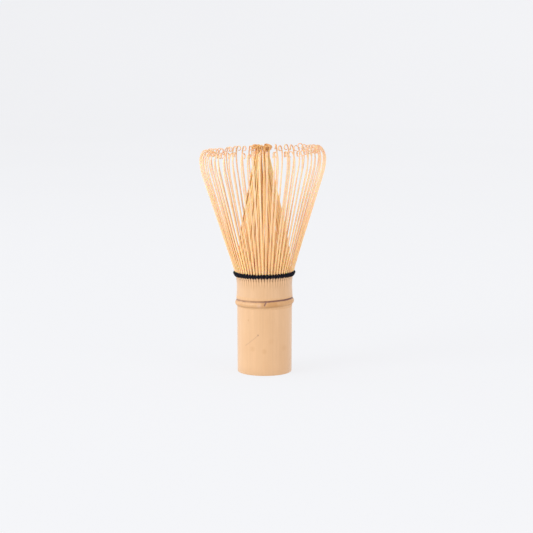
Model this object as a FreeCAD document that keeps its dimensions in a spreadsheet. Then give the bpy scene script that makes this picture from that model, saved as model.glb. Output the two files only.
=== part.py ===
# Bamboo tea whisk, in millimetres, +Z up, standing on its handle with the origin at
# the centre of the foot. One bamboo culm is carved into a hollow handle, a node and a
# collar, and above the collar its wall is split into an outer cage of tines and a thin
# inner bundle. A black thread is woven round the foot of the outer tines.
import FreeCAD, Part
import math
import os
import Sketcher

SIZES = {
    # handle: the hollow internode below the node
    "handle_height": 31.0,
    "base_radius": 12.7,
    "handle_radius": 12.85,
    "bore_radius": 8.0,
    "base_chamfer": 0.4,
    # node: the swollen ring with the leaf scar above it, and its diaphragm
    "ring_height": 5.4,
    "ridge_swell": 0.75,
    "ridge_fillet": 0.5,
    "ridge_bottom": 1.3,
    "ridge_top": 3.1,
    "scar_level": 3.9,
    "scar_depth": 0.35,
    "scar_width": 0.5,
    "node_bore_radius": 7.5,
    "septum_level": 1.6,
    "septum_thickness": 1.5,
    "septum_rise": 1.4,
    # collar: the unsplit wall above the node
    "collar_base_radius": 13.1,
    "collar_radius": 12.9,
    "collar_height": 6.0,
    "collar_wall": 3.4,
    "funnel_depth": 2.0,
    # roots: the standing feet of both layers of tines, up to the top of the thread
    "root_height": 5.1,
    "root_radius": 14.0,
    "root_thickness": 0.6,
    "inner_root_radius": 12.3,
    "inner_root_thickness": 0.6,
    "layer_split": 1.0,
    "kerf_width": 0.5,
    "cutter_margin": 1.0,
    # tines: one primary split of the culm carries several fine tines
    "split_count": 16,
    "tines_per_split": 4,
    "flex_gap": 0.15,
    "outer_lean": 17.6,
    "outer_straight": 47.0,
    "outer_bend_radius": 26.0,
    "outer_hook_radius": 3.7,
    "outer_hook_turn": 205.0,
    "outer_thickness": 0.45,
    "outer_width": 0.8,
    "outer_tip_width": 0.55,
    "outer_shave_clearance": 0.2,
    "inner_lean": 11.3,
    "inner_bend_radius": 105.0,
    "inner_straight": 35.4,
    "inner_hook_radius": 0.9,
    "inner_hook_turn": 60.0,
    "inner_thickness": 0.34,
    "inner_wedge": 2.3,
    # thread: three rounds outside the outer roots, one between the two layers
    "thread_radius": 0.31,
    "inner_thread_radius": 0.22,
    "thread_clearance": 0.02,
    "thread_standoff": 0.04,
    "knot_radius": 0.33,
    "knot_length": 0.9,
}

# Levels and radii that several pieces share, as expressions of the sizes above.
RING_TOP = "(Sizes.handle_height + Sizes.ring_height)"
KERF_END = "(Sizes.handle_height + Sizes.ring_height + Sizes.collar_height)"
ROOT_TOP = "({} + Sizes.root_height)".format(KERF_END)
TINE_START = "({} + Sizes.flex_gap)".format(ROOT_TOP)
TINE_COUNT = "(Sizes.split_count * Sizes.tines_per_split)"
TINE_PITCH = "(360 / {})".format(TINE_COUNT)
ROOT_SLOPE = "((Sizes.root_radius - Sizes.collar_radius) / Sizes.root_height)"
SEPTUM_TOP = "(Sizes.handle_height + Sizes.septum_level + Sizes.septum_thickness)"
OUTER_TINE_RADIUS = "(Sizes.root_radius - Sizes.outer_thickness / 2)"
INNER_TINE_RADIUS = "(Sizes.inner_root_radius - Sizes.inner_thickness / 2)"
LAYER_CROTCH = "({} + Sizes.layer_split)".format(KERF_END)
COLLAR_BORE = "(Sizes.collar_base_radius - Sizes.collar_wall)"
# a shallow dome stands three quarters of its rise high at half its radius
DOME_HALFWAY = "Sizes.septum_rise * 3 / 4"

Z_AXIS = FreeCAD.Vector(0, 0, 1)

doc = FreeCAD.newDocument("TeaWhisk")


def fill_sheet():
    """Write every driving size into the sheet as a plain number with its name."""
    sheet = doc.addObject("Spreadsheet::Sheet", "Sizes")
    for row, (name, value) in enumerate(SIZES.items(), start=1):
        sheet.set("A{}".format(row), name)
        sheet.set("B{}".format(row), str(value))
        sheet.setAlias("B{}".format(row), name)
    doc.recompute()
    return sheet


def origin_feature(body, role):
    """One of the body's own origin planes or axes."""
    return next(f for f in body.Origin.OriginFeatures if f.Role == role)


def new_body(label):
    body = doc.addObject("PartDesign::Body", label)
    body.Label = label
    return body


def new_sketch(body, name, role, level=None):
    """A sketch on one of the body's origin planes, lifted to a level if one is given."""
    sketch = body.newObject("Sketcher::SketchObject", name)
    sketch.AttachmentSupport = [(origin_feature(body, role), "")]
    sketch.MapMode = "FlatFace"
    if level:
        sketch.setExpression(".AttachmentOffset.Base.z", level)
    return sketch


def bind(sketch, name, expression, constraint):
    """Add a constraint and tie its value to the sheet."""
    index = sketch.addConstraint(constraint)
    sketch.renameConstraint(index, name)
    sketch.setExpression("Constraints." + name, expression)


def polygon(sketch, name, corners):
    """Draw a closed outline whose corners are pairs of expressions of the sizes."""
    places = [
        FreeCAD.Vector(float(sketch.evalExpression(x)), float(sketch.evalExpression(y)), 0)
        for x, y in corners
    ]
    first = sketch.GeometryCount
    count = len(corners)
    for i in range(count):
        sketch.addGeometry(Part.LineSegment(places[i], places[(i + 1) % count]))
    for i in range(count):
        following = first + (i + 1) % count
        sketch.addConstraint(Sketcher.Constraint("Coincident", first + i, 2, following, 1))
    for i, (x, y) in enumerate(corners):
        corner = (-1, 1, first + i, 1)
        across = Sketcher.Constraint("DistanceX", *corner, places[i].x)
        upward = Sketcher.Constraint("DistanceY", *corner, places[i].y)
        bind(sketch, "{}_x{}".format(name, i), x, across)
        bind(sketch, "{}_y{}".format(name, i), y, upward)


def revolve_outline(label, corners):
    """A turned body: the outline in the XZ plane taken once round the Z axis."""
    body = new_body(label)
    outline = new_sketch(body, label + "_outline", "XZ_Plane")
    polygon(outline, "edge", corners)
    turned = body.newObject("PartDesign::Revolution", label + "_turned")
    turned.Profile = outline
    turned.ReferenceAxis = (origin_feature(body, "Z_Axis"), [""])
    turned.Angle = 360
    body.Tip = turned
    doc.recompute()
    return body, turned


def circles_at(shape, radius, level):
    """Names of the shape's round edges of one radius at one level."""
    names = []
    for number, edge in enumerate(shape.Edges, start=1):
        curve = edge.Curve
        if isinstance(curve, Part.Circle):
            near = abs(curve.Radius - radius) < 0.01 and abs(curve.Center.z - level) < 0.01
            if near:
                names.append("Edge{}".format(number))
    return names


def make_handle():
    """The hollow handle: a gently swelling tube, chamfered at the foot."""
    body, turned = revolve_outline("handle_tube", [
        ("Sizes.bore_radius", "0"),
        ("Sizes.base_radius", "0"),
        ("Sizes.handle_radius", "Sizes.handle_height"),
        ("Sizes.bore_radius", "Sizes.handle_height"),
    ])
    foot = body.newObject("PartDesign::Chamfer", "foot_chamfer")
    foot.Base = (turned, circles_at(turned.Shape, sheet.base_radius, 0))
    foot.setExpression("Size", "Sizes.base_chamfer")
    body.Tip = foot


def make_ring():
    """The node: a rounded ridge with the leaf scar cut as a groove above it."""
    def at(level):
        return "Sizes.handle_height + " + level

    ridge = "Sizes.handle_radius + Sizes.ridge_swell"
    scar = "Sizes.scar_level"
    body, turned = revolve_outline("node_ring", [
        ("Sizes.node_bore_radius", "Sizes.handle_height"),
        ("Sizes.handle_radius", "Sizes.handle_height"),
        (ridge, at("Sizes.ridge_bottom")),
        (ridge, at("Sizes.ridge_top")),
        ("Sizes.collar_base_radius", at(scar + " - Sizes.scar_width / 2")),
        ("Sizes.collar_base_radius - Sizes.scar_depth", at(scar)),
        ("Sizes.collar_base_radius", at(scar + " + Sizes.scar_width / 2")),
        ("Sizes.collar_base_radius", RING_TOP),
        ("Sizes.node_bore_radius", RING_TOP),
    ])
    radius = sheet.handle_radius + sheet.ridge_swell
    edges = circles_at(turned.Shape, radius, sheet.handle_height + sheet.ridge_bottom)
    edges += circles_at(turned.Shape, radius, sheet.handle_height + sheet.ridge_top)
    soft = body.newObject("PartDesign::Fillet", "ridge_rounding")
    soft.Base = (turned, edges)
    soft.setExpression("Radius", "Sizes.ridge_fillet")
    body.Tip = soft


def make_septum():
    """The diaphragm across the culm at the node, thin and domed upward."""
    low = "Sizes.handle_height + Sizes.septum_level"
    revolve_outline("node_septum", [
        ("0", low + " + Sizes.septum_rise"),
        ("Sizes.node_bore_radius / 2", low + " + " + DOME_HALFWAY),
        ("Sizes.node_bore_radius", low),
        ("Sizes.node_bore_radius", SEPTUM_TOP),
        ("Sizes.node_bore_radius / 2", SEPTUM_TOP + " + " + DOME_HALFWAY),
        ("0", SEPTUM_TOP + " + Sizes.septum_rise"),
    ])


def make_collar():
    """The collar and the standing roots of both layers, parted by the kerfs."""
    body, turned = revolve_outline("tine_collar", [
        (COLLAR_BORE, RING_TOP),
        ("Sizes.collar_base_radius", RING_TOP),
        ("Sizes.collar_radius", KERF_END),
        ("Sizes.root_radius", ROOT_TOP),
        ("Sizes.root_radius - Sizes.root_thickness", ROOT_TOP),
        ("Sizes.collar_radius - Sizes.root_thickness / 2", LAYER_CROTCH),
        ("Sizes.inner_root_radius", ROOT_TOP),
        ("Sizes.inner_root_radius - Sizes.inner_root_thickness", ROOT_TOP),
        ("Sizes.inner_root_radius - Sizes.inner_root_thickness", KERF_END),
        (COLLAR_BORE, KERF_END + " - Sizes.funnel_depth"),
    ])
    side = new_sketch(body, "kerf_side", "XZ_Plane")
    reach_in = "Sizes.inner_root_radius - Sizes.inner_root_thickness - Sizes.cutter_margin"
    reach_out = "Sizes.root_radius + Sizes.cutter_margin"
    polygon(side, "kerf", [
        (reach_in, KERF_END),
        (reach_out, KERF_END),
        (reach_out, ROOT_TOP + " + Sizes.cutter_margin"),
        (reach_in, ROOT_TOP + " + Sizes.cutter_margin"),
    ])
    kerf = body.newObject("PartDesign::Pocket", "kerf")
    kerf.Profile = side
    kerf.SideType = "Symmetric"
    kerf.setExpression("Length", "Sizes.kerf_width")
    kerfs = body.newObject("PartDesign::PolarPattern", "kerfs")
    kerfs.Originals = [kerf]
    kerfs.Axis = (origin_feature(body, "Z_Axis"), [""])
    kerfs.Angle = 360
    kerfs.setExpression("Occurrences", TINE_COUNT)
    body.Tip = kerfs
    doc.recompute()
    if kerfs.Shape.Volume >= turned.Shape.Volume:
        raise RuntimeError("the kerfs cut nothing from the collar")


def start_path(sketch, radius):
    """Where a tine's middle line starts, from its radius expression."""
    return FreeCAD.Vector(
        float(sketch.evalExpression(radius)), float(sketch.evalExpression(TINE_START)), 0
    )


def arc(centre, radius, low, high):
    """An arc in the sketch plane between two angles in degrees."""
    circle = Part.Circle(centre, Z_AXIS, radius)
    return Part.ArcOfCircle(circle, math.radians(low), math.radians(high))


def direction(angle):
    """The sketch direction at an angle in degrees from the X axis."""
    return FreeCAD.Vector(math.cos(math.radians(angle)), math.sin(math.radians(angle)), 0)


def outer_path(sketch, radius):
    """Middle line of an outer tine: leaning out, straightening up, hooked inward."""
    lean = sheet.outer_lean
    bend = sheet.outer_bend_radius
    hook = sheet.outer_hook_radius
    start = start_path(sketch, radius)
    knee = start + direction(90 - lean) * sheet.outer_straight
    bend_centre = knee - direction(-lean) * bend
    hook_centre = bend_centre + direction(0) * (bend - hook)
    sketch.addGeometry(Part.LineSegment(start, knee))
    sketch.addGeometry(arc(bend_centre, bend, -lean, 0))
    sketch.addGeometry(arc(hook_centre, hook, 0, sheet.outer_hook_turn))
    make = Sketcher.Constraint
    sketch.addConstraint(make("Tangent", 0, 2, 1, 1))
    sketch.addConstraint(make("Tangent", 1, 2, 2, 1))
    sketch.addConstraint(make("Horizontal", 2, 3, 2, 1))
    bind(sketch, "foot_x", radius, make("DistanceX", -1, 1, 0, 1, start.x))
    bind(sketch, "foot_y", TINE_START, make("DistanceY", -1, 1, 0, 1, start.y))
    rise = make("Angle", 0, math.radians(90 - lean))
    bind(sketch, "rise", "(90 - Sizes.outer_lean) * 1 deg", rise)
    bind(sketch, "straight", "Sizes.outer_straight", make("Distance", 0, sheet.outer_straight))
    bind(sketch, "bend", "Sizes.outer_bend_radius", make("Radius", 1, bend))
    bind(sketch, "hook", "Sizes.outer_hook_radius", make("Radius", 2, hook))
    turn = make("Angle", 2, math.radians(sheet.outer_hook_turn))
    bind(sketch, "turn", "Sizes.outer_hook_turn * 1 deg", turn)


def cut_through(body, sketch, name):
    """Cut the sketch out of the body, through everything on both sides of its plane."""
    cut = body.newObject("PartDesign::Pocket", name)
    cut.Profile = sketch
    cut.Type = "ThroughAll"
    cut.SideType = "Symmetric"
    return cut


def outer_tine(body, label):
    """An outer tine: a strip swept along its path and shaved narrower towards its tip."""
    path = new_sketch(body, label + "_path", "XZ_Plane")
    outer_path(path, OUTER_TINE_RADIUS)
    section = new_sketch(body, label + "_section", "XY_Plane", TINE_START)
    inside = OUTER_TINE_RADIUS + " - Sizes.outer_thickness / 2"
    outside = OUTER_TINE_RADIUS + " + Sizes.outer_thickness / 2"
    polygon(section, "strip", [
        (inside, "-1 * Sizes.outer_width / 2"),
        (outside, "-1 * Sizes.outer_width / 2"),
        (outside, "Sizes.outer_width / 2"),
        (inside, "Sizes.outer_width / 2"),
    ])
    strip = body.newObject("PartDesign::AdditivePipe", label + "_strip")
    strip.Profile = section
    strip.Spine = path

    front = new_sketch(body, label + "_front", "YZ_Plane")
    top = (
        TINE_START + " + Sizes.outer_straight + Sizes.outer_hook_radius"
        " + Sizes.outer_bend_radius * sin(Sizes.outer_lean * 1 deg)"
    )
    for name, side in (("left", "-1 * "), ("right", "")):
        clear = side + "(Sizes.outer_width / 2 + Sizes.outer_shave_clearance)"
        polygon(front, name, [
            (side + "Sizes.outer_width / 2", TINE_START),
            (clear, TINE_START),
            (clear, top),
            (side + "Sizes.outer_tip_width / 2", top),
        ])
    return [strip, cut_through(body, front, label + "_shave")]


def inner_tine(body, label):
    """An inner tine: bending in from upright, then straight, with a short hook.

    It is a thin wedge of a turned shape, as the splits that part it aim at the axis.
    """
    side = new_sketch(body, label + "_side", "XZ_Plane")
    half = sheet.inner_thickness / 2
    lean = sheet.inner_lean
    bend = sheet.inner_bend_radius
    hook = sheet.inner_hook_radius
    start = start_path(side, INNER_TINE_RADIUS)
    bend_centre = start - direction(0) * bend
    knee = bend_centre + direction(lean) * bend
    neck = knee + direction(90 + lean) * sheet.inner_straight
    hook_centre = neck - direction(lean) * hook
    tip = lean + sheet.inner_hook_turn
    across = direction(lean)
    for offset in (half, -half):
        side.addGeometry(arc(bend_centre, bend + offset, 0, lean))
        side.addGeometry(Part.LineSegment(knee + across * offset, neck + across * offset))
        side.addGeometry(arc(hook_centre, hook + offset, lean, tip))
    side.addGeometry(Part.LineSegment(start + direction(0) * half, start - direction(0) * half))
    side.addGeometry(Part.LineSegment(
        hook_centre + direction(tip) * (hook + half), hook_centre + direction(tip) * (hook - half)
    ))
    skin_bend, skin, skin_hook, pith_bend, pith, pith_hook, foot, end = range(8)
    make = Sketcher.Constraint
    for first, second in (
        (skin_bend, skin), (skin, skin_hook), (pith_bend, pith), (pith, pith_hook)
    ):
        side.addConstraint(make("Tangent", first, 2, second, 1))
    side.addConstraint(make("Coincident", skin_bend, 3, pith_bend, 3))
    side.addConstraint(make("Coincident", skin_hook, 3, pith_hook, 3))
    side.addConstraint(make("Coincident", skin_bend, 1, foot, 1))
    side.addConstraint(make("Coincident", pith_bend, 1, foot, 2))
    side.addConstraint(make("Coincident", skin_hook, 2, end, 1))
    side.addConstraint(make("Coincident", pith_hook, 2, end, 2))
    side.addConstraint(make("Horizontal", skin_bend, 3, skin_bend, 1))
    side.addConstraint(make("Horizontal", foot))
    skin_start = (-1, 1, skin_bend, 1)
    foot_x = make("DistanceX", *skin_start, start.x + half)
    foot_y = make("DistanceY", *skin_start, start.y)
    bind(side, "foot_x", INNER_TINE_RADIUS + " + Sizes.inner_thickness / 2", foot_x)
    bind(side, "foot_y", TINE_START, foot_y)
    for name, bend_arc, hook_arc, sign, offset in (
        ("skin", skin_bend, skin_hook, "+", half), ("pith", pith_bend, pith_hook, "-", -half)
    ):
        size = "Sizes.inner_{{}}_radius {} Sizes.inner_thickness / 2".format(sign)
        radius = make("Radius", bend_arc, bend + offset)
        bind(side, name + "_bend", size.format("bend"), radius)
        radius = make("Radius", hook_arc, hook + offset)
        bind(side, name + "_hook", size.format("hook"), radius)
        turn = make("Angle", hook_arc, math.radians(sheet.inner_hook_turn))
        bind(side, name + "_turn", "Sizes.inner_hook_turn * 1 deg", turn)
    lean_turn = make("Angle", skin_bend, math.radians(lean))
    bind(side, "lean", "Sizes.inner_lean * 1 deg", lean_turn)
    bind(side, "straight", "Sizes.inner_straight", make("Distance", skin, sheet.inner_straight))
    wedge = body.newObject("PartDesign::Revolution", label + "_wedge")
    wedge.Profile = side
    wedge.ReferenceAxis = (origin_feature(body, "Z_Axis"), [""])
    wedge.Midplane = True
    wedge.setExpression("Angle", "Sizes.inner_wedge * 1 deg")
    return [wedge]


def make_split(layer, number, make_tine):
    """One primary split: its first tine is repeated side by side round the axis."""
    label = "{}_split_{:02d}".format(layer, number)
    body = new_body(label)
    made = make_tine(body, label)
    tines = body.newObject("PartDesign::PolarPattern", label + "_tines")
    tines.Originals = made
    tines.Axis = (origin_feature(body, "Z_Axis"), [""])
    tines.Mode = "Spacing"
    tines.setExpression("Offset", TINE_PITCH + " * 1 deg")
    tines.setExpression("Occurrences", "Sizes.tines_per_split")
    body.Tip = tines

    # the middle of the split stands at its own share of the circle
    turn = "({} * 360 / Sizes.split_count - (Sizes.tines_per_split - 1) / 2 * {}) * 1 deg"
    body.setExpression(".Placement.Rotation.Angle", turn.format(number - 1, TINE_PITCH))
    return made


def root_face(level):
    """Radius of the flared outside of the roots at a level, as an expression."""
    return "(Sizes.collar_radius + {} * ({} - {}))".format(ROOT_SLOPE, level, KERF_END)


def make_thread_round(label, level, radius, thread):
    """One round of the thread, lying level round the roots."""
    loop = doc.addObject("Part::Torus", label)
    loop.Label = label
    loop.setExpression("Radius1", radius)
    loop.setExpression("Radius2", thread)
    loop.setExpression(".Placement.Base.z", level)
    return loop


def make_thread():
    """Three rounds outside the outer roots, one inside them, and the knot on that one."""
    thread = "Sizes.thread_radius"
    pitch = "(2 * Sizes.thread_radius + Sizes.thread_clearance)"
    for name, below in (("upper", 0), ("middle", 1), ("lower", 2)):
        level = "({} - {} - {} * {})".format(ROOT_TOP, thread, below, pitch)
        radius = "{} + {} + Sizes.thread_standoff".format(root_face(level), thread)
        make_thread_round("thread_{}_round".format(name), level, radius, thread)

    middle = "({} - {} - {})".format(ROOT_TOP, thread, pitch)
    between = "(Sizes.inner_root_radius + Sizes.root_radius - Sizes.root_thickness) / 2"
    inner = (middle, between, "Sizes.inner_thread_radius")
    make_thread_round("thread_inner_round", *inner)

    # the knot is a short thick collar on the inner round, centred at the back
    bead = make_thread_round("knot_bead", middle, between, "Sizes.knot_radius")
    span = "Sizes.knot_length / ({}) * 180 / pi".format(between)
    bead.setExpression("Angle3", span + " * 1 deg")
    bead.setExpression(".Placement.Rotation.Angle", "(90 - {} / 2) * 1 deg".format(span))
    passing = make_thread_round("knot_passage", *inner)
    knot = doc.addObject("Part::Cut", "thread_knot")
    knot.Label = "thread_knot"
    knot.Base = bead
    knot.Tool = passing
    return [bead, passing]


def check(objects):
    """Stop if any object failed to rebuild or holds no valid solid."""
    for item in doc.Objects:
        if "Invalid" in item.State or "Error" in item.State:
            raise RuntimeError("{} failed: {}".format(item.Name, item.State))
    for item in objects:
        shape = item.Shape
        if shape.isNull() or not shape.isValid() or not shape.Solids:
            raise RuntimeError("{} has no valid solid".format(item.Label))


sheet = fill_sheet()
make_handle()
make_ring()
make_septum()
make_collar()
shaved = []
for split in range(1, int(sheet.split_count) + 1):
    strip, shave = make_split("outer", split, outer_tine)
    shaved.append((strip, shave))
    make_split("inner", split, inner_tine)
helpers = make_thread()
doc.recompute()

bodies = [item for item in doc.Objects if item.TypeId == "PartDesign::Body"]
primitives = [item for item in doc.Objects if item.TypeId in ("Part::Torus", "Part::Cut")]
pieces = bodies + [item for item in primitives if item not in helpers]
check(pieces)
for strip, shave in shaved:
    if shave.Shape.Volume >= strip.Shape.Volume:
        raise RuntimeError("{} took nothing off".format(shave.Name))
for body in bodies:
    if "_split_" in body.Label and len(body.Shape.Solids) != sheet.tines_per_split:
        raise RuntimeError("{} is not parted into its tines".format(body.Label))

os.makedirs("parts", exist_ok=True)
for piece in pieces:
    piece.Shape.exportStep("parts/{}.step".format(piece.Label))
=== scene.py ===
import math
import random

import bpy
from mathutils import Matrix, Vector


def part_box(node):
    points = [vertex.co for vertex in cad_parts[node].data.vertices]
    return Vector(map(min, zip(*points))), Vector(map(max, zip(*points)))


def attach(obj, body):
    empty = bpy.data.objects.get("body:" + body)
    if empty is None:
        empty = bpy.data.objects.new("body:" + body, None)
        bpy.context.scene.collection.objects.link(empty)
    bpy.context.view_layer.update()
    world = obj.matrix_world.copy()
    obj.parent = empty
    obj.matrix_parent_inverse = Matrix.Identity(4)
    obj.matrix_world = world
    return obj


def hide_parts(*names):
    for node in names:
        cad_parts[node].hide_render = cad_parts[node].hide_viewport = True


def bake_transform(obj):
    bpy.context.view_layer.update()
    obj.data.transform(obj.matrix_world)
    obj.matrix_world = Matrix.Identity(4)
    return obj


bl_info = {
    "name": "Tea Whisk",
    "version": (1, 0, 0),
    "blender": (4, 5, 0),
    "location": "View3D > Sidebar > Whisk",
    "description": "Carves a bamboo tea whisk around its working frame",
    "category": "Object",
}

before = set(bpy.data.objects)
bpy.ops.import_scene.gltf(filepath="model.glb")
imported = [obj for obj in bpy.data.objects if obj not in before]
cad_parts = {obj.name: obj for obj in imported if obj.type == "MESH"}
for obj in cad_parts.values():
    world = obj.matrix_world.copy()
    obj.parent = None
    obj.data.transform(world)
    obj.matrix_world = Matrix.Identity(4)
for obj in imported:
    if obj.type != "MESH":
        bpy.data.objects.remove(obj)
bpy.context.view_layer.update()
MM = 0.001

# Levels and radii read off the frame's own nodes, in metres.
HANDLE_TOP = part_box("handle_tube")[1].z
RING_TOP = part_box("node_ring")[1].z
RIDGE_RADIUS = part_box("node_ring")[1].x
ROOT_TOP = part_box("tine_collar")[1].z
ROOT_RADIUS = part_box("tine_collar")[1].x
THREAD_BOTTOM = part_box("thread_lower_round")[0].z
THREAD_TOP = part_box("thread_upper_round")[1].z
SPLITS = sum(name.startswith("outer_split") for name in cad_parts)


# ---------------------------------------------------------------- sizes and colours

def length(name, text, value):
    """A length that a user can change, in metres."""
    return bpy.props.FloatProperty(
        name=name, description=text, default=value, unit="LENGTH", precision=5
    )


def angle(name, text, degrees):
    """An angle that a user can change, given in degrees."""
    return bpy.props.FloatProperty(
        name=name, description=text, default=math.radians(degrees), subtype="ANGLE"
    )


def colour(name, text, value):
    """A colour that a user can change, in linear red, green and blue."""
    return bpy.props.FloatVectorProperty(
        name=name, description=text, default=value, subtype="COLOR", size=3, min=0, max=1
    )


class WhiskSizes(bpy.types.PropertyGroup):
    handle_foot: length("Handle foot", "Radius of the handle above its foot", 12.7 * MM)
    handle_top: length("Handle top", "Radius of the handle under the node", 12.85 * MM)
    bore_radius: length("Bore", "Radius of the handle's hollow", 8.0 * MM)
    node_slant: angle("Node slant", "Slope of the node, rising to the right", 2.0)
    upper_tilt: angle("Upper tilt", "Tilt of all above the node, to the left", 0.7)
    inner_tilt: angle("Inner tilt", "Further tilt of the inner bundle", 0.4)
    lobe_tilt: angle("Lobe tilt", "How far its two lobes lean apart", 0.1)
    kerf_end: length("Kerf end", "Level at which the kerfs begin", 44.2 * MM)
    kerf_point: length("Kerf point", "Depth of the pointed end of a kerf", 0.5 * MM)
    tines_per_split: bpy.props.IntProperty(
        name="Tines per split", description="Fine tines in one primary split", default=4
    )
    tine_foot: length("Tine foot", "Level at which a tine starts, hidden by the thread", 46.3 * MM)
    outer_inset: length("Outer inset", "Depth of the outer tines in their roots", 0.52 * MM)
    outer_lean: angle("Outer lean", "Lean of the outer tines from upright", 17.6)
    outer_straight: length("Outer straight", "Straight length of an outer tine", 47.6 * MM)
    outer_bend: length("Outer bend", "Radius that turns the tine upright", 26.0 * MM)
    hook_radius: length("Hook radius", "Radius at which the tip first turns in", 5.4 * MM)
    curl_radius: length("Curl radius", "Radius of the tight curl at the tip", 1.1 * MM)
    outer_width: length("Outer width", "Width of an outer tine at the foot", 0.86 * MM)
    outer_thickness: length("Outer thickness", "Thickness of an outer tine", 0.46 * MM)
    inner_foot: length("Inner foot", "Radius on which the inner tines stand", 12.1 * MM)
    inner_width: length("Inner width", "Width of an inner tine at the foot", 0.85 * MM)
    inner_thickness: length("Inner thickness", "Thickness of an inner tine", 0.36 * MM)
    inner_lean: angle("Inner lean", "Lean of the inner tines towards the axis", 12.4)
    inner_bend: length("Inner bend", "Radius of their bend at the foot", 105.0 * MM)
    inner_straight: length("Inner straight", "Straight length of an inner tine", 34.2 * MM)
    inner_curl: length("Inner curl", "Radius of the curled inner tips", 1.14 * MM)
    thread_radius: length("Thread radius", "Half the thickness of the thread", 0.32 * MM)


class WhiskColours(bpy.types.PropertyGroup):
    skin: colour("Skin", "Planed bamboo skin of the handle", (0.69, 0.405, 0.2))
    ridge: colour("Ridge", "Darker bamboo of the node", (0.52, 0.255, 0.085))
    scar: colour("Scar", "Leaf scar line", (0.19, 0.075, 0.055))
    # painted highlight: colour of the pale spot painted on the front of the node's ridge
    patch: colour("Patch", "Pale patch on the node", (0.68, 0.43, 0.29))
    flesh: colour("Flesh", "Inside of the culm", (0.80, 0.62, 0.38))
    tine_foot: colour("Tine foot", "Split bamboo at the foot of the tines", (0.93, 0.555, 0.235))
    # painted light: the paleness of this upper tone stands for light coming through the thin outer
    # tines
    tine: colour("Tine", "Split bamboo of the outer tines", (0.945, 0.655, 0.42))
    inner: colour("Inner tine", "Thin inner tines", (0.95, 0.58, 0.23))
    tip: colour("Tip", "Steamed and browned tips", (0.6, 0.24, 0.05))
    thread: colour("Thread", "Black cotton thread", (0.005, 0.005, 0.009))
    floor: colour("Floor", "Pale paper sweep", (0.885, 0.889, 0.91))


class StudioSettings(bpy.types.PropertyGroup):
    key_power: bpy.props.FloatProperty(
        name="Key power", description="Power of the soft light on the left", default=18.0
    )
    room_light: bpy.props.FloatProperty(
        name="Room light", description="Strength of the even light all round", default=1.0
    )
    camera_distance: length("Camera distance", "From the whisk's axis", 688.4 * MM)
    camera_height: length("Camera height", "Above the floor", 146.0 * MM)
    camera_aside: length("Camera aside", "Sideways from the axis", 0.9 * MM)
    camera_dip: angle("Camera dip", "How far the camera looks down", 7.98)
    focal_length: bpy.props.FloatProperty(
        name="Focal length", description="Lens in millimetres", default=100.6, unit="CAMERA"
    )


# ---------------------------------------------------------------- modelling helpers

def focus(obj):
    """Make one object the only one selected, and the active one."""
    bpy.ops.object.select_all(action="DESELECT")
    obj.select_set(True)
    bpy.context.view_layer.objects.active = obj


def edit(obj):
    """Go into edit mode on one object."""
    focus(obj)
    bpy.ops.object.mode_set(mode="EDIT")


def leave():
    """Go back to object mode."""
    bpy.ops.object.mode_set(mode="OBJECT")


def start_ring(name, count, radius, level, phase=0.0):
    """A named open ring of edges round the Z axis, left in edit mode and selected."""
    bpy.ops.object.select_all(action="DESELECT")
    bpy.ops.mesh.primitive_circle_add(
        vertices=count, radius=radius, location=(0, 0, level), rotation=(0, 0, phase)
    )
    bpy.ops.object.transform_apply(location=True, rotation=True, scale=True)
    ring = bpy.context.active_object
    ring.name = name
    ring.data.name = name
    edit(ring)
    bpy.ops.mesh.select_all(action="SELECT")
    return ring


def raise_ring(ratio, rise, level):
    """Extrude what is selected to a new level and scale it about the Z axis."""
    bpy.ops.mesh.extrude_region_move(TRANSFORM_OT_translate={"value": (0, 0, rise)})
    bpy.ops.transform.resize(value=(ratio, ratio, 1), center_override=(0, 0, level))


def select_vertices(obj, test):
    """Go into edit mode on the active object with exactly the vertices that pass selected."""
    leave()
    mesh = obj.data
    for vertex in mesh.vertices:
        vertex.select = test(vertex)
    for part in (*mesh.edges, *mesh.polygons):
        part.select = all(mesh.vertices[v].select for v in part.vertices)
    bpy.ops.object.mode_set(mode="EDIT")


def select_where(obj, test):
    """Select exactly the vertices whose place passes the test."""
    select_vertices(obj, lambda vertex: test(vertex.co))


def select_faces(obj, test):
    """Go into edit mode, in face mode, with exactly the faces that pass selected."""
    leave()
    mesh = obj.data
    for face in mesh.polygons:
        face.select = test(face.center)
    for part in (*mesh.edges, *mesh.vertices):
        part.select = False
    bpy.ops.object.mode_set(mode="EDIT")
    bpy.ops.mesh.select_mode(type="FACE")


def lathe(name, count, profile):
    """A turned shell: rings of count points at each (radius, level) of the profile."""
    radius, level = profile[0]
    shell = start_ring(name, count, radius, level)
    for next_radius, next_level in profile[1:]:
        raise_ring(next_radius / radius, next_level - level, next_level)
        radius, level = next_radius, next_level
    bpy.ops.mesh.select_all(action="SELECT")
    bpy.ops.mesh.remove_doubles(threshold=1e-6)
    bpy.ops.mesh.normals_make_consistent(inside=False)
    leave()
    return shell


def smooth(obj, degrees=40):
    """Shade a piece smooth wherever its faces meet at less than an angle."""
    focus(obj)
    bpy.ops.object.shade_smooth_by_angle(angle=math.radians(degrees), keep_sharp_edges=False)


def turn(amount, axis, centre):
    """Turn what is selected by an angle about an axis, right-handed."""
    bpy.ops.transform.rotate(
        value=-amount, orient_axis=axis, orient_type="GLOBAL", center_override=centre
    )


def tilt(obj, amount, level):
    """Tip a whole piece to the left about a level on the whisk's axis."""
    edit(obj)
    bpy.ops.mesh.select_all(action="SELECT")
    turn(-amount, "Y", (0, 0, level))
    leave()


def finish_piece(obj, material, slot_name, *nodes):
    """Give a piece its material and hide the frame's parts for the nodes that it stands for;
    slot_name is not used.
    """
    obj.data.materials.clear()
    obj.data.materials.append(material)
    if nodes:
        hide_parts(*nodes)


# ---------------------------------------------------------------- finishes

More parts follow.
